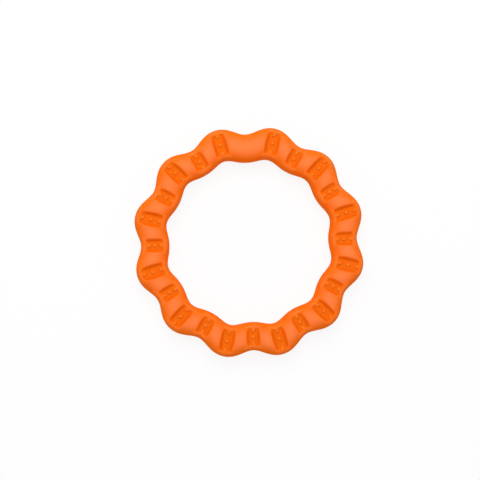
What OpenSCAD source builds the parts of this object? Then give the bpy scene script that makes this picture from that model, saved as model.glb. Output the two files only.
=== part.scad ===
// Wavy rubber chew ring: a round tube that swings out and in twelve times on its
// way round, with a nubbed pocket in the crown of every lobe and neck but one.
// The ring is moulded as two equal halves that meet on the parting plane, z = 0.
// The origin is the middle of the ring on that plane. +Z is up, and the neck
// that has no pockets lies on +Y.

/* [Ring] */
// Diameter over two opposite lobes
ring_d = 150; // [120:1:190]
// How much nearer the middle the outer edge comes at a neck than at a lobe
scallop = 5.65; // [3:0.05:7]
// Width of the tube at a lobe, seen from above
lobe_w = 20.9; // [18:0.1:24]
// Width of the tube at a neck, seen from above
neck_w = 18.3; // [16:0.1:20]
// Height of the tube at a lobe, before its pockets are cut
lobe_h = 20.6; // [19:0.1:23]
// Height of the tube at a neck, before its pockets are cut
neck_h = 19.2; // [18:0.1:20]
// How full the tube is in section: 2 is an ellipse, and more is squarer
fullness = 2.3; // [2:0.1:2.6]
// Number of lobes round the ring
waves = 12; // [10:1:12]

/* [Pockets] */
// Depth of the pocket floors below the crown of a neck: all lie on one level
pocket_depth = 1.75; // [1.4:0.05:2.2]
// Width of a pocket's floor, along the ring
pocket_w = 6; // [5:0.1:8]
// Lean of the pocket walls away from upright, in degrees
pocket_draft = 38; // [10:1:42]
// Radius of the corners of a pocket's floor
corner_r = 0.9; // [0.3:0.1:1.5]
// How far an end wall stands inside the line where the floor would run out
end_land = 0.85; // [0.4:0.05:1.2]

/* [Nubs] */
// Diameter of a nub at the pocket floor
nub_d = 2.7; // [2.4:0.1:3]
// Height of a nub above the pocket floor
nub_h = 1.1; // [0.8:0.05:1.2]
// Distance from the middle of an end nub to the end of the pocket floor
nub_inset = 1.05; // [0.6:0.05:1.3]
// Nubs in the row along a pocket
nubs_in_row = 3; // [2:1:3]

/* [Hidden] */
// How much fuller than a plain wave the outer edge is, as a share of its swing
outer_full_share = 0.084;
// The same for the inner edge, which is drawn in instead
inner_full_share = -0.102;
// Overrun of each cut past the surface that it cuts
over = 1;
// Steps along one wave, and over the crown of one half
wave_steps = 14;
crown_steps = 14;

lobe_outer_r = ring_d / 2;
neck_outer_r = lobe_outer_r - scallop;
lobe_inner_r = lobe_outer_r - lobe_w;
neck_inner_r = neck_outer_r - neck_w;
floor_z = neck_h / 2 - pocket_depth;
// From the floor to past the highest crown
cut_rise = max(lobe_h, neck_h) / 2 - floor_z + over;
cut_flare = cut_rise * tan(pocket_draft);
// A nub is the top of a ball that is sunk in the floor
ball_r = (pow(nub_d / 2, 2) + pow(nub_h, 2)) / (2 * nub_h);
ring_steps = waves * wave_steps;

// A size that swings between a value at the necks and a value at the lobes, at
// angle a from the bare neck.
function swing(a, neck, lobe, full_share = 0) =
    (lobe + neck) / 2 - (lobe - neck) / 2 * cos(waves * a)
    + full_share * (lobe - neck) * pow(sin(waves * a), 2);

function outer_r(a) = swing(a, neck_outer_r, lobe_outer_r, outer_full_share);
function inner_r(a) = swing(a, neck_inner_r, lobe_inner_r, inner_full_share);
function middle_r(a) = (outer_r(a) + inner_r(a)) / 2;
function half_w(a) = (outer_r(a) - inner_r(a)) / 2;
function crown_z(a) = swing(a, neck_h, lobe_h) / 2;

// Turns the sine or cosine of an ellipse into that of a fuller oval.
function full(wave) = sign(wave) * pow(abs(wave), 2 / fullness);

// A level floor would run out where the round crown has come down to it. The
// pocket ends before that, so a low wall closes it at both ends.
function floor_length(a) =
    2 * (half_w(a) * pow(1 - pow(floor_z / crown_z(a), fullness), 1 / fullness) - end_land);

// Point of the skin at angle a round the ring and angle b over the crown.
function skin_point(a, b) =
    let (r = middle_r(a) + half_w(a) * full(cos(b)))
    [r * sin(a), r * cos(a), crown_z(a) * full(sin(b))];

// Upper half of the tube without its pockets, flat on the parting plane.
module half_tube() {
    columns = crown_steps + 1;
    function at(i, j) = (i % ring_steps) * columns + j % columns;
    points = [
        for (i = [0:ring_steps - 1], j = [0:crown_steps])
            skin_point(360 * i / ring_steps, 180 * j / crown_steps)
    ];
    faces = [
        for (i = [0:ring_steps - 1], j = [0:crown_steps])
            each [
                [at(i, j), at(i + 1, j), at(i + 1, j + 1)],
                [at(i, j), at(i + 1, j + 1), at(i, j + 1)]
            ]
    ];
    polyhedron(points, faces, convexity = 4);
}

// A bar with a floor of w by l whose two long sides lean out as they rise.
module leaning_bar(w, l) {
    rotate([90, 0, 0])
        linear_extrude(height = l, center = true)
            polygon([
                [-w / 2, 0],
                [w / 2, 0],
                [w / 2 + cut_flare, cut_rise],
                [-w / 2 - cut_flare, cut_rise]
            ]);
}

// What a pocket with a floor of length l takes out of the crown.
module pocket_cut(l) {
    w_in = pocket_w - 2 * corner_r;
    l_in = l - 2 * corner_r;
    leaning_bar(pocket_w, l_in);
    rotate([0, 0, 90])
        leaning_bar(l, w_in);
    for (x = [-w_in / 2, w_in / 2], y = [-l_in / 2, l_in / 2])
        translate([x, y, 0])
            cylinder(h = cut_rise, r1 = corner_r, r2 = corner_r + cut_flare, $fn = 32);
}

// The row of domed nubs along a pocket floor of length l.
module nub_row(l) {
    row_l = l - 2 * nub_inset;
    for (i = [0:nubs_in_row - 1])
        translate([0, row_l * (i / (nubs_in_row - 1) - 1 / 2), nub_h - ball_r])
            sphere(r = ball_r, $fn = 32);
}

// Angles of the lobes and necks that have a pocket: all but the bare neck.
function pocket_angles() = [for (i = [1:2 * waves - 1]) i * 180 / waves];

// Puts its children on the pocket floor at angle a.
module on_floor(a) {
    rotate([0, 0, -a])
        translate([0, middle_r(a), floor_z])
            children();
}

module upper_half() {
    color("darkorange") {
        difference() {
            half_tube();
            for (a = pocket_angles())
                on_floor(a)
                    pocket_cut(floor_length(a));
        }
        for (a = pocket_angles())
            on_floor(a)
                nub_row(floor_length(a));
    }
}

module lower_half() {
    mirror([0, 0, 1])
        upper_half();
}

upper_half();
lower_half();
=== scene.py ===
# %% [markdown]
# # A wavy rubber chew ring
#
# The real thing is a ring of solid orange rubber for a dog to chew and tug. Its
# tube swings out into twelve lobes and in again at twelve necks. The crown of
# each lobe and neck has a shallow pocket across it with three small domed nubs.
# One neck has none.
#
# The whole surface follows a rule, so Geometry Nodes make it: one tree makes the
# skin of a half from a flat grid, and another stands the nubs on it. The packed
# model that is loaded first holds the same ring as plain solids, and every piece
# made here stays within its box.

# %% Load the frame
import math
from types import SimpleNamespace

import bpy
from mathutils import Matrix, Vector


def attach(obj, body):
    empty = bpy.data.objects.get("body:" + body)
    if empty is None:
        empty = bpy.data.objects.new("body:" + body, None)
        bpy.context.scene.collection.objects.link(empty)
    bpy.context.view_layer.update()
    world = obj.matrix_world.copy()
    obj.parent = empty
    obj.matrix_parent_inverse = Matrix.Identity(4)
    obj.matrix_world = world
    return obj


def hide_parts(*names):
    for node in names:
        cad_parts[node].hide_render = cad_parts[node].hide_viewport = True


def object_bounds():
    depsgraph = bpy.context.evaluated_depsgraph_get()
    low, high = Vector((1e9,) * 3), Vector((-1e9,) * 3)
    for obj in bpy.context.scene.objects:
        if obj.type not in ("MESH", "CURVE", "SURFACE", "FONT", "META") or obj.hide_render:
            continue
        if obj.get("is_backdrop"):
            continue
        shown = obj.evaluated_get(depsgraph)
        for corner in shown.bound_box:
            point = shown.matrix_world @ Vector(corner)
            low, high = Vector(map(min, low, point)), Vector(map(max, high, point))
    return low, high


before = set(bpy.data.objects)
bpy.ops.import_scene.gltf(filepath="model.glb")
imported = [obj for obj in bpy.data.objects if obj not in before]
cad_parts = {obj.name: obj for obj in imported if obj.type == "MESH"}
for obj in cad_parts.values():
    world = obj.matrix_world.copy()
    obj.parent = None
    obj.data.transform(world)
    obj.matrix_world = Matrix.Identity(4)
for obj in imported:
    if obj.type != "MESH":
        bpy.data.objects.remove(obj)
cad_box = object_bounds()
print("nodes:", sorted(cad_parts))

# %% [markdown]
# ## The sizes of the ring
#
# A mould maker would draw this ring from a handful of sizes: how far it is across
# the lobes, how far the edge comes in at a neck, how wide and high the tube is at
# both, and how a pocket and its nubs are cut. Each one has a name here, in metres,
# and goes into the node trees as a named input, so it is changed in one place. A
# pair such as "Tongue from" and "Tongue to" says between which distances something
# fades away.

# %% Sizes in metres
MM = 0.001
WAVES = 12
SIZES = {
    "Ring diameter": 150.0 * MM,
    "Scallop": 5.65 * MM,
    "Lobe width": 20.9 * MM,
    "Neck width": 18.3 * MM,
    "Lobe height": 20.6 * MM,
    "Neck height": 19.2 * MM,
    "Shoulder from": 2.5 * MM,
    "Shoulder to": 7.0 * MM,
    "Skin inset": 0.1 * MM,
    "Bead": 0.03 * MM,
    "Bead reach": 0.3 * MM,
    "Pocket depth": 1.75 * MM,
    "Pocket floor": 4.2 * MM,
    "Wall round": 2.1 * MM,
    "End land": 0.85 * MM,
    "Wall setback": 0.85 * MM,
    "End flare": 2.0 * MM,
    "Tongue": 1.0 * MM,
    "Tongue from": 0.33 * MM,
    "Tongue to": 1.87 * MM,
    "Lip height": 0.4 * MM,
    "Lip rise": 1.5 * MM,
    "Lip low": 3.0 * MM,
    "Lip high": 7.5 * MM,
    "Lip side from": 3.0 * MM,
    "Lip side to": 8.0 * MM,
    "Rim from": 4.0 * MM,
    "Rim to": 8.5 * MM,
    "Nub diameter": 2.7 * MM,
    "Nub height": 1.1 * MM,
    "Nub inset": 1.05 * MM,
    "Fillet height": 0.2 * MM,
    "Fillet from": 1.08 * MM,
    "Fillet to": 2.3 * MM,
}
POCKETS = 2 * WAVES
POCKET_ANGLE = math.tau / POCKETS
print(f"the tube is {SIZES['Lobe width'] / SIZES['Ring diameter']:.3f} of the ring's diameter")
print(f"a pocket every {math.degrees(POCKET_ANGLE):.0f} degrees")

# %% [markdown]
# ## Arithmetic that builds nodes
#
# The shape of the ring is a formula, and a formula in Geometry Nodes is a chain of
# Math nodes. Adding them one by one would hide the formula behind wiring. A small
# class does the wiring instead: it wraps a socket, and adding, multiplying or
# taking the sine of it puts the right Math node in the tree. The same class serves
# the material further down, because shaders have the same Math node.

# %% A socket that can be calculated with
class Field:
    """A value that a node tree works out at each point, used like a number."""

    def __init__(self, tree, socket):
        self.tree = tree
        self.socket = socket

    def math(self, operation, *others):
        node = self.tree.nodes.new("ShaderNodeMath")
        node.operation = operation
        for slot, value in zip(node.inputs, (self, *others)):
            plug(self.tree, value, slot)
        return Field(self.tree, node.outputs[0])

    def __add__(self, other):
        return self.math("ADD", other)

    def __sub__(self, other):
        return self.math("SUBTRACT", other)

    def __mul__(self, other):
        return self.math("MULTIPLY", other)

    def __truediv__(self, other):
        return self.math("DIVIDE", other)

    def sin(self):
        return self.math("SINE")

    def cos(self):
        return self.math("COSINE")

    def unsigned(self):
        return self.math("ABSOLUTE")

    def rest(self):
        """What is missing to 1."""
        return self * -1.0 + 1.0

    def smooth_step(self, low, high):
        """0 below low, 1 above high, and an even S-curve between them."""
        node = self.tree.nodes.new("ShaderNodeMapRange")
        node.interpolation_type = "SMOOTHSTEP"
        for name, value in (("Value", self), ("From Min", low), ("From Max", high)):
            plug(self.tree, value, node.inputs[name])
        return Field(self.tree, node.outputs["Result"])


print("a Field can be added, multiplied, turned and smoothed")

# %% [markdown]
# Four more helpers do the wiring that is left: filling an input with whatever is at
# hand, adding a node with its settings and inputs, taking a point apart, and putting
# it together again.

# %% Wiring
def plug(tree, value, slot):
    """Links a field, or a plain socket, to an input, or writes a number in it."""
    if isinstance(value, Field):
        tree.links.new(value.socket, slot)
    elif isinstance(value, bpy.types.NodeSocket):
        tree.links.new(value, slot)
    else:
        slot.default_value = value


def add_node(tree, kind, inputs=None, **settings):
    """Adds a node with its settings and inputs, and gives back the node."""
    node = tree.nodes.new(kind)
    for name, value in settings.items():
        setattr(node, name, value)
    for name, value in (inputs or {}).items():
        plug(tree, value, node.inputs[name])
    return node


def separate(tree, vector):
    """The three coordinates of a point as fields."""
    node = add_node(tree, "ShaderNodeSeparateXYZ", {0: vector})
    return [Field(tree, out) for out in node.outputs]


def combine(tree, x, y, z):
    """The socket of a point with those coordinates."""
    return add_node(tree, "ShaderNodeCombineXYZ", {0: x, 1: y, 2: z}).outputs[0]


print("wiring helpers are ready")

# %% [markdown]
# A tree needs named inputs before anything is built in it: the sizes, the side of
# the ring it works on (1 above the parting plane, -1 below it) and the material. It
# ends in a Set Material node. An object then gets the tree as a modifier, its inputs
# are filled in by their identifiers, and the evaluated result is kept as a plain
# mesh, so nothing live is left on the piece.

# %% Make a tree and grow a mesh from it
def new_tree(name):
    """A Geometry Nodes tree with the ring's sizes as inputs, and those as fields."""
    tree = bpy.data.node_groups.new(name, "GeometryNodeTree")
    tree.interface.new_socket("Mesh", in_out="OUTPUT", socket_type="NodeSocketGeometry")
    for size_name, value in {**SIZES, "Side": 1.0}.items():
        item = tree.interface.new_socket(size_name, in_out="INPUT", socket_type="NodeSocketFloat")
        item.default_value = value
    tree.interface.new_socket("Material", in_out="INPUT", socket_type="NodeSocketMaterial")
    entry = tree.nodes.new("NodeGroupInput")
    return tree, {out.name: Field(tree, out) for out in entry.outputs if out.name}


def end_tree(tree, geometry, material):
    """Realizes what the tree made, gives it its material and sends it out."""
    real = add_node(tree, "GeometryNodeRealizeInstances", {"Geometry": geometry})
    painted = add_node(
        tree,
        "GeometryNodeSetMaterial",
        {"Geometry": real.outputs["Geometry"], "Material": material},
    )
    leave = tree.nodes.new("NodeGroupOutput")
    tree.links.new(painted.outputs["Geometry"], leave.inputs["Mesh"])


def new_object(name, data):
    """An object with that data, added to the scene."""
    item = bpy.data.objects.new(name, data)
    bpy.context.scene.collection.objects.link(item)
    return item


def grow(name, tree, side, material):
    """A new object whose mesh is what the tree makes on that side of the ring."""
    piece = new_object(name, bpy.data.meshes.new(name + "_seed"))
    modifier = piece.modifiers.new("grow", "NODES")
    modifier.node_group = tree
    values = {**SIZES, "Side": side, "Material": material}
    for item in tree.interface.items_tree:
        if item.in_out == "INPUT":
            modifier[item.identifier] = values[item.name]
    graph = bpy.context.evaluated_depsgraph_get()
    mesh = bpy.data.meshes.new_from_object(piece.evaluated_get(graph))
    piece.modifiers.clear()
    piece.data = mesh
    mesh.name = name
    triangles = sum(len(face.vertices) - 2 for face in mesh.polygons)
    print(f"{name}: {len(mesh.vertices)} points, {triangles} triangles")
    return piece


# %% [markdown]
# ## The shape of the tube
#
# Seen from above, both edges of the ring are waves between a radius at the necks
# and one at the lobes. A touch of the doubled wave makes the outer edge a little
# fuller than a sine, and the inner edge a little leaner, as the photograph shows.
# Across, the tube is an oval that is a bit fuller than an ellipse, and a bit
# higher and wider at a lobe.

# %% The ring's rule
OUTER_FULL_SHARE = 0.084
INNER_FULL_SHARE = -0.102


def swing(angle, neck, lobe, full_share=0.0):
    """A size that swings from neck to lobe, at an angle from the bare neck."""
    turn = angle * WAVES
    middle = (lobe + neck) * 0.5
    reach = (lobe - neck) * 0.5
    wave = middle - reach * turn.cos()
    if full_share == 0.0:
        return wave
    return wave + reach * turn.sin() * turn.sin() * (2.0 * full_share)


def section(angle, size):
    """Middle radius, half width and half height of the tube at an angle."""
    lobe_outer = size["Ring diameter"] * 0.5
    neck_outer = lobe_outer - size["Scallop"]
    outer = swing(angle, neck_outer, lobe_outer, OUTER_FULL_SHARE)
    inner = swing(
        angle,
        neck_outer - size["Neck width"],
        lobe_outer - size["Lobe width"],
        INNER_FULL_SHARE,
    )
    crown = swing(angle, size["Neck height"] * 0.5, size["Lobe height"] * 0.5)
    return (outer + inner) * 0.5, (outer - inner) * 0.5, crown


def full(wave, fullness):
    """Turns the sine or cosine of an ellipse into that of a fuller oval."""
    bent = wave.unsigned().math("POWER", fullness.math("POWER", -1.0) * 2.0)
    return bent * wave.math("SIGN")


print(f"the edges bulge by {OUTER_FULL_SHARE} and {INNER_FULL_SHARE} of their swing")

# %% [markdown]
# The skin of a half starts as a flat grid. Its long side goes round the ring and
# its short side over the crown. The grid lines are drawn together where the pocket
# walls are, because that is where the shape bends. The last row goes back to the
# outer edge and closes the flat face on the parting plane.

# %% A flat sheet of points
ROUND_STEPS = 960
OVER_STEPS = 96
LINE_PULL_SHARE = 0.55
WALLS_ROUND = 2 * POCKETS
WALLS_OVER = 4


def drawn_together(turn, walls):
    """The same turn with its lines drawn together at so many walls."""
    return turn + (turn * walls).sin() * (LINE_PULL_SHARE / walls)


def flat_sheet(tree):
    """A grid, the row of each point, and its angle round and climb over the tube."""
    grid = add_node(
        tree,
        "GeometryNodeMeshGrid",
        {"Size X": 1.0, "Size Y": 1.0, "Vertices X": ROUND_STEPS + 1, "Vertices Y": OVER_STEPS + 2},
    )
    spot = tree.nodes.new("GeometryNodeInputPosition").outputs["Position"]
    along, over, _ = separate(tree, spot)
    row = (over + 0.5) * (OVER_STEPS + 1)
    is_last = row.math("GREATER_THAN", OVER_STEPS + 0.5)
    angle = drawn_together((along + 0.5) * math.tau, WALLS_ROUND)
    climb = drawn_together(row * (math.pi / OVER_STEPS) * is_last.rest(), WALLS_OVER)
    return grid.outputs["Mesh"], row, angle, climb


print(f"a sheet has {ROUND_STEPS} by {OVER_STEPS} faces over the crown")

# %% [markdown]
# Rubber is pressed in a mould of two plates that meet at the middle of the tube, so
# the ring is two halves, with a fine bead of rubber where the plates close. Both
# edges are drawn in by a tenth of a millimetre, so that the bead stays within the
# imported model's box. Beside a pocket the tube is a touch squarer than elsewhere, as
# if the rubber that the pocket pushed away had filled its shoulders.
#
# Each point of the plain tube also gets to know where it is in the nearest pocket:
# how far from the pocket's middle line, how far out from the tube's middle, and
# where the floor ends. All pocket floors lie on one level, and that level would
# run out where the round crown has come down to it. A low wall closes the pocket
# a little before that.

# %% A point of the plain tube
FULLNESS = 2.3
POCKET_FULLNESS = 0.35


def floor_level(size):
    """Height of the pocket floors, which all lie on one level."""
    return size["Neck height"] * 0.5 - size["Pocket depth"]


def floor_end(half_wide, crown, size):
    """How far a pocket's floor goes from the middle of the tube to each side."""
    fall = (floor_level(size) / crown).math("POWER", FULLNESS)
    run_out = half_wide * fall.rest().math("POWER", 1.0 / FULLNESS)
    return run_out - size["End land"]


def on_tube(angle, climb, size):
    """A point of the plain tube, and where that is in the nearest pocket."""
    middle, half_wide, crown = section(angle, size)
    number = (angle / POCKET_ANGLE).math("ROUND")
    # The number of the nearest pocket bounces back to 0 at the bare neck
    has_pocket = number.math("PINGPONG", WAVES).math("GREATER_THAN", 0.5)
    across_line = (angle - number * POCKET_ANGLE).sin()

    beside = (across_line * middle).unsigned().smooth_step(size["Shoulder from"], size["Shoulder to"])
    fullness = beside.rest() * has_pocket * POCKET_FULLNESS + FULLNESS
    height = crown * full(climb.sin(), fullness)
    bead = height.smooth_step(0.0, size["Bead reach"]).rest() * size["Bead"]
    out = (half_wide - size["Skin inset"] + bead) * full(climb.cos(), fullness)
    radius = middle + out
    return SimpleNamespace(
        radius=radius,
        height=height,
        crown=crown,
        has_pocket=has_pocket,
        off_line=(across_line * radius).unsigned(),
        off_middle=out.unsigned(),
        floor_end=floor_end(half_wide, crown, size),
    )


print(f"the section's power is {FULLNESS}, and {FULLNESS + POCKET_FULLNESS:.2f} at a pocket")

# %% [markdown]
# ## A pocket without knife edges
#
# A pocket is a flat floor that the crown is pressed down to. Cutting it with a
# boolean would leave knife edges, and rubber from a mould has none. So each point
# near a pocket is lowered by a share of its height above the floor: fully on the
# floor, less along the wall by an S-curve, and not at all past the rim. The long
# walls lean out as they rise. The end walls are low and fade out softly, and in the
# middle of each a tongue comes in to meet the end nub, which is why the pocket's
# ends look like an M from above.

# %% How far a point is pressed down
WALL_LEAN_SHARE = 0.6


def up_long_wall(at, rise, size):
    """0 on the floor of a pocket, 1 past its long walls, and an S-curve on them."""
    foot = size["Pocket floor"] * 0.5
    top = foot + rise * WALL_LEAN_SHARE + size["Wall round"]
    return at.off_line.smooth_step(foot, top)


def pressed_share(at, wall, size):
    """1 on the floor of a pocket, 0 past its walls, and an S-curve on them."""
    tongue = at.off_line.smooth_step(size["Tongue from"], size["Tongue to"]).rest()
    end = at.floor_end - size["Wall setback"] - tongue * size["Tongue"]
    past_end = at.off_middle.smooth_step(end, end + size["End flare"])
    return wall.rest() * past_end.rest() * at.has_pocket


print(f"a wall leans out by {WALL_LEAN_SHARE} of its height")

# %% [markdown]
# Two swells finish a pocket. Past each end the rubber rises in a low lip, which
# dies away down the side of the tube. Round the foot of each nub there is a small
# fillet, because a mould that ended a nub in a sharp corner would tear it when the
# ring is pulled out.

# %% Lips and fillets
def lip_share(at, size):
    """How much of the lip past the end of a pocket is here."""
    begun = at.off_middle.smooth_step(at.floor_end, at.floor_end + size["Lip rise"])
    high_up = at.height.smooth_step(size["Lip low"], size["Lip high"])
    beside = at.off_line.smooth_step(size["Lip side from"], size["Lip side to"])
    return begun * high_up * beside.rest() * at.has_pocket


def fillet_share(at, size):
    """How much of the fillet round the nearest nub of the row is here."""
    step = at.floor_end - size["Nub inset"]
    seat = (at.off_middle / step).math("ROUND").math("MINIMUM", 1.0) * step
    off_seat = at.off_middle - seat
    away = (off_seat * off_seat + at.off_line * at.off_line).math("SQRT")
    return away.smooth_step(size["Fillet from"], size["Fillet to"]).rest()


print(f"a lip rises {SIZES['Lip height'] / MM} mm, a fillet {SIZES['Fillet height'] / MM} mm")

# %% [markdown]
# The tree of a half puts all this together. Before the points move, it notes six
# shares on the grid as attributes: how far a point is pressed into a pocket, how
# far up a long wall it is, how much of a lip, of a fillet and of a rim is there, and
# how far up the tube it ends. The material reads them later. Faces of the upper half
# are turned over, so that they point outwards on both sides, and the seams of the
# sheet are merged into a closed skin.

# %% Tree of a half
WELD = 0.01 * MM
SKIN_NOTES = ("pocket", "wall", "lip", "foot", "rim", "up")


def noted(tree, geometry, notes):
    """The geometry with a share under each name on its points."""
    for name, share in notes.items():
        store = add_node(
            tree,
            "GeometryNodeStoreNamedAttribute",
            {"Geometry": geometry, "Name": name, "Value": share},
            data_type="FLOAT",
            domain="POINT",
        )
        geometry = store.outputs["Geometry"]
    return geometry


def build_skin_tree():
    """The tree that shapes a flat sheet into the skin of a half."""
    tree, size = new_tree("ring_half_skin")
    sheet, row, angle, climb = flat_sheet(tree)
    at = on_tube(angle, climb, size)

    rise = (at.height - floor_level(size)).math("MAXIMUM", 0.0)
    wall = up_long_wall(at, rise, size)
    pocket = pressed_share(at, wall, size)
    lip = lip_share(at, size)
    foot = fillet_share(at, size) * pocket
    rim = at.off_line.smooth_step(size["Rim from"], size["Rim to"]).rest() * at.has_pocket
    swell = lip * size["Lip height"] + foot * size["Fillet height"]
    height = at.height - rise * pocket + swell

    smooth = add_node(
        tree,
        "GeometryNodeSetShadeSmooth",
        {"Geometry": sheet, "Shade Smooth": row.math("LESS_THAN", OVER_STEPS)},
    )
    up = height / at.crown
    shares = (pocket, wall, lip, foot, rim, up)
    marked = noted(tree, smooth.outputs["Geometry"], dict(zip(SKIN_NOTES, shares)))
    level = height * size["Side"]
    place = combine(tree, at.radius * angle.sin(), at.radius * angle.cos(), level)
    shaped = add_node(tree, "GeometryNodeSetPosition", {"Geometry": marked, "Position": place})
    outward = add_node(
        tree,
        "GeometryNodeFlipFaces",
        {"Mesh": shaped.outputs["Geometry"], "Selection": size["Side"].math("GREATER_THAN", 0.0)},
    )
    closed = add_node(
        tree,
        "GeometryNodeMergeByDistance",
        {"Geometry": outward.outputs["Mesh"], "Distance": WELD},
    )
    end_tree(tree, closed.outputs["Geometry"], size["Material"])
    return tree


skin_tree = build_skin_tree()
print("skin tree:", len(skin_tree.nodes), "nodes")

# %% [markdown]
# ## The nubs
#
# Each pocket holds three small domes in a row across the tube. They are the tops
# of balls that are sunk in the floor, so they leave it at a slant and not upright,
# and come out of a mould easily. The end ones stand close to the ends of the floor,
# where the tongues meet them. There are 69 on each side, which is a job for
# Instance on Points.

# %% Tree of the nubs
NUBS_IN_ROW = 3
NUB_SEGMENTS = 16
NUB_RINGS = 8


def build_nub_tree():
    """The tree that stands a row of nubs on each pocket floor of a half."""
    tree, size = new_tree("ring_half_nubs")
    index = Field(tree, tree.nodes.new("GeometryNodeInputIndex").outputs["Index"])
    pocket = (index / NUBS_IN_ROW).math("FLOOR") + 1.0
    seat = index.math("MODULO", NUBS_IN_ROW) - (NUBS_IN_ROW - 1) / 2

    angle = pocket * POCKET_ANGLE
    middle, half_wide, crown = section(angle, size)
    radius = middle + seat * (floor_end(half_wide, crown, size) - size["Nub inset"])

    nub_radius = size["Nub diameter"] * 0.5
    nub_height = size["Nub height"]
    ball = (nub_radius * nub_radius + nub_height * nub_height) / (nub_height * 2.0)
    height = (floor_level(size) + nub_height - ball) * size["Side"]

    place = combine(tree, radius * angle.sin(), radius * angle.cos(), height)
    spots = add_node(
        tree, "GeometryNodePoints", {"Count": (POCKETS - 1) * NUBS_IN_ROW, "Position": place}
    )
    dome = add_node(
        tree,
        "GeometryNodeMeshUVSphere",
        {"Segments": NUB_SEGMENTS, "Rings": NUB_RINGS, "Radius": ball},
    )
    smooth = add_node(tree, "GeometryNodeSetShadeSmooth", {"Geometry": dome.outputs["Mesh"]})
    copies = add_node(
        tree,
        "GeometryNodeInstanceOnPoints",
        {"Points": spots.outputs["Points"], "Instance": smooth.outputs["Geometry"]},
    )
    end_tree(tree, copies.outputs["Instances"], size["Material"])
    return tree


nub_tree = build_nub_tree()
print("nub tree:", len(nub_tree.nodes), "nodes")

# %% [markdown]
# ## The rubber
#
# The ring is one batch of orange rubber, and its tone has painted light and shade
# in it. A pale painted sheen lies on the crowns, weaker beside a pocket and uneven
# from patch to patch. The lips past the pocket ends and the tips of the nubs carry
# a warmer painted highlight. The pockets are painted a deeper shade, darkest at the
# foot of a long wall. Low on the sides the colour is the rubber's own deep orange.
#
# The tones are mixed from the height of a point and from the shares that the tree
# noted. Height is read from Object coordinates, so the pattern stays on the rubber
# when the ring is turned.

# %% Tones
# Only the side tone is the rubber's own colour. The crown tone is a painted sheen, the lip and tip
# tones are painted highlights, and the pocket, corner and foot tones are painted shade.
SIDE_ORANGE = (0.97, 0.152, 0.001, 1.0)
CROWN_SHEEN_ORANGE = (0.975, 0.218, 0.056, 1.0)
LIP_HIGHLIGHT_ORANGE = (0.98, 0.205, 0.030, 1.0)
POCKET_SHADE_ORANGE = (0.85, 0.146, 0.0042, 1.0)
CORNER_SHADE_ORANGE = (0.81, 0.119, 0.001, 1.0)
NUB_FOOT_SHADE_ORANGE = (0.90, 0.147, 0.003, 1.0)
TIP_HIGHLIGHT_ORANGE = (0.98, 0.204, 0.018, 1.0)
PATCH_SIZE = 22.0 * MM
PATCH_SHARE = 0.3


def noise(tree, coords, feature):
    """A cloudy pattern whose patches are about feature across, as a field."""
    node = add_node(tree, "ShaderNodeTexNoise", {"Vector": coords, "Scale": 1.0 / feature})
    return Field(tree, node.outputs["Fac"])


def mix_colour(tree, share, low, high):
    """The low colour where share is 0, the high one where it is 1."""
    inputs = {"Factor": share, "A": low, "B": high}
    return add_node(tree, "ShaderNodeMix", inputs, data_type="RGBA").outputs["Result"]


def note(tree, name):
    """A share that the skin's tree noted on the points."""
    return Field(tree, add_node(tree, "ShaderNodeAttribute", attribute_name=name).outputs["Fac"])


def uneven(share, patches):
    """A share of painted sheen or highlight that is a bit stronger in some patches than in others."""
    return share * (patches * PATCH_SHARE + (1.0 - PATCH_SHARE / 2))


print("seven tones of one orange")

# %% [markdown]
# The skin and the nubs are painted by two small functions. The painted sheen of the
# skin rises with a high power of how far up the tube a point is, so it belongs to the
# crown, at a low neck as much as at a high lobe. On a long wall of a pocket the painted
# shade is strongest where a point is pressed down by two thirds, which is just above
# the foot of the wall, and its scale makes it 1 there. The low end walls have none.

# %% Paint for the skin and the nubs
SHEEN_POWER = 7.0
RIM_SHEEN_SHARE = 0.7
LIP_HIGHLIGHT_SHARE = 0.6
LIP_HIGHLIGHT_FROM = 5.8 * MM
LIP_HIGHLIGHT_FULL = 8.2 * MM
FOOT_SHADE_SHARE = 0.25
CORNER_SHADE_SCALE = 27 / 4
POCKET_EDGE_SHARE = 0.45
TIP_HIGHLIGHT_FROM = 8.25 * MM
TIP_HIGHLIGHT_FULL = 8.7 * MM


def paint_skin(tree, height, patches):
    """The skin's colour: painted sheen, then painted highlights on the lips, then painted shade in
    the pockets.
    """
    pocket, wall, lip, foot, rim, up = (note(tree, name) for name in SKIN_NOTES)
    # Painted sheen on the crowns, weaker near a pocket.
    painted_sheen = uneven(up.math("POWER", SHEEN_POWER), patches)
    painted_sheen = painted_sheen * (rim * (RIM_SHEEN_SHARE - 1.0) + 1.0)
    skin = mix_colour(tree, painted_sheen, SIDE_ORANGE, CROWN_SHEEN_ORANGE)
    # Painted highlight on the lips past the pocket ends.
    highlighted = lip * height.smooth_step(LIP_HIGHLIGHT_FROM, LIP_HIGHLIGHT_FULL) * LIP_HIGHLIGHT_SHARE
    skin = mix_colour(tree, highlighted, skin, LIP_HIGHLIGHT_ORANGE)
    # Painted shade low on the long walls and round the feet of the nubs.
    corner_shade = (pocket * pocket * wall * CORNER_SHADE_SCALE).math("MAXIMUM", foot * FOOT_SHADE_SHARE)
    # The pockets are painted a deeper shade than the skin.
    inside = mix_colour(tree, corner_shade, POCKET_SHADE_ORANGE, CORNER_SHADE_ORANGE)
    return mix_colour(tree, pocket.smooth_step(0.0, POCKET_EDGE_SHARE), skin, inside)


def paint_nubs(tree, height, patches):
    """The nubs' colour: painted shade at the foot and a painted highlight on the tips."""
    # Painted highlight on the tip of a nub, over painted shade at its foot.
    highlighted = uneven(height.smooth_step(TIP_HIGHLIGHT_FROM, TIP_HIGHLIGHT_FULL), patches)
    return mix_colour(tree, highlighted, NUB_FOOT_SHADE_ORANGE, TIP_HIGHLIGHT_ORANGE)


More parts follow.
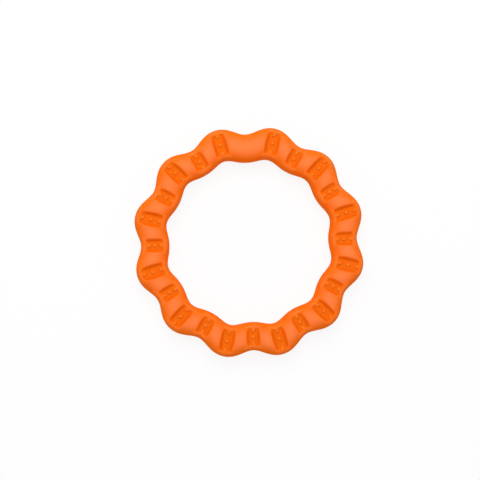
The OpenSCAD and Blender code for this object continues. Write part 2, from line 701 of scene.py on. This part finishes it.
print(f"the tip of a nub is rubbed above {TIP_HIGHLIGHT_FROM / MM} mm")

# %% [markdown]
# Moulded rubber is never mirror smooth: it has a fine grain and a soft unevenness,
# and both go into the roughness and the bump. It hardly shines. Light goes a few
# millimetres into it and comes out again redder, which softens the shadows in the
# pockets, and that is what subsurface scattering does.

# %% Orange rubber
GRAIN_SIZE = 0.5 * MM
SWELL_SIZE = 6.0 * MM
BUMP_DEPTH = 0.05 * MM
BUMP_STRENGTH = 0.5
GRAIN_BUMP_SHARE = 0.15
ROUGH_LOWEST = 0.56
ROUGH_BY_PATCH = 0.14
ROUGH_BY_GRAIN = 0.06
SHINE = 0.02
SCATTER_SHARE = 0.3
SCATTER_REACH = 3.0 * MM
SCATTER_BY_COLOUR = (1.0, 0.35, 0.1)


def orange_rubber(name, paint):
    """Moulded rubber whose tone is given by a paint function."""
    material = bpy.data.materials.new(name)
    material.use_nodes = True
    tree = material.node_tree
    shader = tree.nodes["Principled BSDF"]
    coords = tree.nodes.new("ShaderNodeTexCoord").outputs["Object"]
    height = separate(tree, coords)[2].unsigned()
    patches = noise(tree, coords, PATCH_SIZE)
    grain = noise(tree, coords, GRAIN_SIZE)
    plug(tree, paint(tree, height, patches), shader.inputs["Base Color"])
    rough = patches * ROUGH_BY_PATCH + grain * ROUGH_BY_GRAIN + ROUGH_LOWEST
    plug(tree, rough, shader.inputs["Roughness"])
    surface = noise(tree, coords, SWELL_SIZE) + grain * GRAIN_BUMP_SHARE
    bump = add_node(
        tree,
        "ShaderNodeBump",
        {"Height": surface, "Strength": BUMP_STRENGTH, "Distance": BUMP_DEPTH},
    )
    plug(tree, bump.outputs["Normal"], shader.inputs["Normal"])
    shader.inputs["Specular IOR Level"].default_value = SHINE
    shader.inputs["Subsurface Weight"].default_value = SCATTER_SHARE
    shader.inputs["Subsurface Radius"].default_value = SCATTER_BY_COLOUR
    shader.inputs["Subsurface Scale"].default_value = SCATTER_REACH
    return material


skin_rubber = orange_rubber("orange_rubber_skin", paint_skin)
nub_rubber = orange_rubber("orange_rubber_nubs", paint_nubs)
print("materials:", skin_rubber.name, nub_rubber.name)

# %% [markdown]
# ## Grow the pieces
#
# The same two trees make both sides of the ring: the side is one of their inputs.
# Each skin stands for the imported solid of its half. The nubs are pieces of their
# own and ride along.

# %% Both halves and their nubs
for half, side in (("upper", 1.0), ("lower", -1.0)):
    skin = grow(f"{half}_half_skin", skin_tree, side, skin_rubber)
    nubs = grow(f"{half}_half_nubs", nub_tree, side, nub_rubber)
    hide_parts(f"{half}_half")
    for piece in (skin, nubs):
        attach(piece, "root")

# %% [markdown]
# ## The camera
#
# The photograph was taken from nearly straight above, with the bare neck at the
# top and turned a hair to the left. The camera stood a little to the left of the
# ring's axis: the pockets sit to the right of where they would be if it had not.
#
# Places in the photograph are in its pixels, from the top left corner. Directions in
# it, here and for the lamp, are angles clockwise from its top.

# %% Camera
FRAME_PX = 480
RING_MIDDLE_PX = (249.14, 242.34)
LOBE_RADIUS_PX = 116.8
ROLL = math.radians(2.12)
LEAN = math.radians(2.9)
LEAN_TOWARDS = math.radians(250.0)
CAMERA_DISTANCE = 0.95
SENSOR_IN_MM = 36.0

metres_per_px = SIZES["Ring diameter"] / 2 / LOBE_RADIUS_PX
photo_up = Vector((math.sin(ROLL), math.cos(ROLL), 0.0))
photo_right = Vector((math.cos(ROLL), -math.sin(ROLL), 0.0))
away = photo_right * math.sin(LEAN_TOWARDS) + photo_up * math.cos(LEAN_TOWARDS)
back = (away * math.sin(LEAN) + Vector((0.0, 0.0, math.cos(LEAN)))).normalized()
side_axis = photo_up.cross(back).normalized()
up_axis = back.cross(side_axis)
off_right = (RING_MIDDLE_PX[0] - FRAME_PX / 2) * metres_per_px
off_down = (RING_MIDDLE_PX[1] - FRAME_PX / 2) * metres_per_px
aim = up_axis * off_down - side_axis * off_right

camera_data = bpy.data.cameras.new("camera")
camera = new_object("camera", camera_data)
turn = Matrix((side_axis, up_axis, back)).transposed().to_4x4()
camera.matrix_world = Matrix.Translation(aim + back * CAMERA_DISTANCE) @ turn
camera_data.sensor_width = SENSOR_IN_MM
camera_data.lens = SENSOR_IN_MM * CAMERA_DISTANCE / (FRAME_PX * metres_per_px)
bpy.context.scene.camera = camera
print(f"lens {camera_data.lens:.1f} mm, {metres_per_px / MM:.4f} mm a pixel")

# %% [markdown]
# ## Floor, light and background
#
# The ring lies on a plain white floor. The camera sees that floor nearly white, as
# in a studio picture: part of it glows, but only for the camera, so it throws no
# more light on the ring. The other part is matt and keeps a faint shadow.

# %% Floor
FLOOR_SIZE = 4.0
FLOOR_GREY = 0.9
FLOOR_WHITE_SHARE = 0.88


def seen_directly(tree):
    """1 for what the camera sees, straight, mirrored or through glass, else 0."""
    path = tree.nodes.new("ShaderNodeLightPath")
    camera_ray = Field(tree, path.outputs["Is Camera Ray"])
    mirrored = camera_ray.math("MAXIMUM", Field(tree, path.outputs["Is Glossy Ray"]))
    return mirrored.math("MAXIMUM", Field(tree, path.outputs["Is Transmission Ray"]))


floor_paint = bpy.data.materials.new("floor_white")
floor_paint.use_nodes = True
floor_tree = floor_paint.node_tree
floor_tree.nodes.clear()
matt = add_node(floor_tree, "ShaderNodeBsdfDiffuse", {"Color": (FLOOR_GREY,) * 3 + (1.0,)})
glow = add_node(floor_tree, "ShaderNodeEmission", {"Strength": 1.0})
floor_mix = add_node(
    floor_tree,
    "ShaderNodeMixShader",
    {0: seen_directly(floor_tree) * FLOOR_WHITE_SHARE, 1: matt.outputs[0], 2: glow.outputs[0]},
)
floor_out = floor_tree.nodes.new("ShaderNodeOutputMaterial")
floor_tree.links.new(floor_mix.outputs[0], floor_out.inputs["Surface"])

floor_mesh = bpy.data.meshes.new("floor")
reach = FLOOR_SIZE / 2
corners = [(-reach, -reach), (reach, -reach), (reach, reach), (-reach, reach)]
floor_mesh.from_pydata([(x, y, cad_box[0].z) for x, y in corners], [], [(0, 1, 2, 3)])
floor_mesh.materials.append(floor_paint)
floor = new_object("floor", floor_mesh)
floor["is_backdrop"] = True
print(f"floor at {cad_box[0].z / MM:.2f} mm")

# %% [markdown]
# The light is soft: an even white sky, and one large lamp above and beyond the top
# of the picture, a little to its left, which is the side that the bright flanks
# face.

# %% Sky and lamp
SKY_STRENGTH = 0.51
LAMP_POWER = 7.0
LAMP_SIZE = 0.7
LAMP_OUT = 0.38
LAMP_UP = 0.88
LAMP_TOWARDS = math.radians(-12.0)

world = bpy.data.worlds.new("sky")
world.use_nodes = True
bpy.context.scene.world = world
sky_tree = world.node_tree
sky = sky_tree.nodes["Background"]
sky.inputs["Color"].default_value = (1.0, 1.0, 1.0, 1.0)
strength = seen_directly(sky_tree) * (1.0 - SKY_STRENGTH) + SKY_STRENGTH
plug(sky_tree, strength, sky.inputs["Strength"])

lamp_data = bpy.data.lights.new("soft_lamp", "AREA")
lamp_data.energy = LAMP_POWER
lamp_data.size = LAMP_SIZE
lamp = new_object("soft_lamp", lamp_data)
lamp_side = photo_right * math.sin(LAMP_TOWARDS) + photo_up * math.cos(LAMP_TOWARDS)
lamp_place = lamp_side * LAMP_OUT + Vector((0.0, 0.0, LAMP_UP))
lamp_turn = lamp_place.to_track_quat("Z", "Y").to_matrix().to_4x4()
lamp.matrix_world = Matrix.Translation(lamp_place) @ lamp_turn

bpy.context.scene.view_settings.view_transform = "Standard"
print(f"lamp {lamp_place.length:.2f} m away")

# %% [markdown]
# ## The boxes
#
# The box of the dressed ring is printed beside that of the imported one.

# %% Sizes and finish
visual_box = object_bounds()
for name, low, high in (("packed", *cad_box), ("dressed", *visual_box)):
    print(name, [round((end - start) / MM, 2) for start, end in zip(low, high)], "mm")
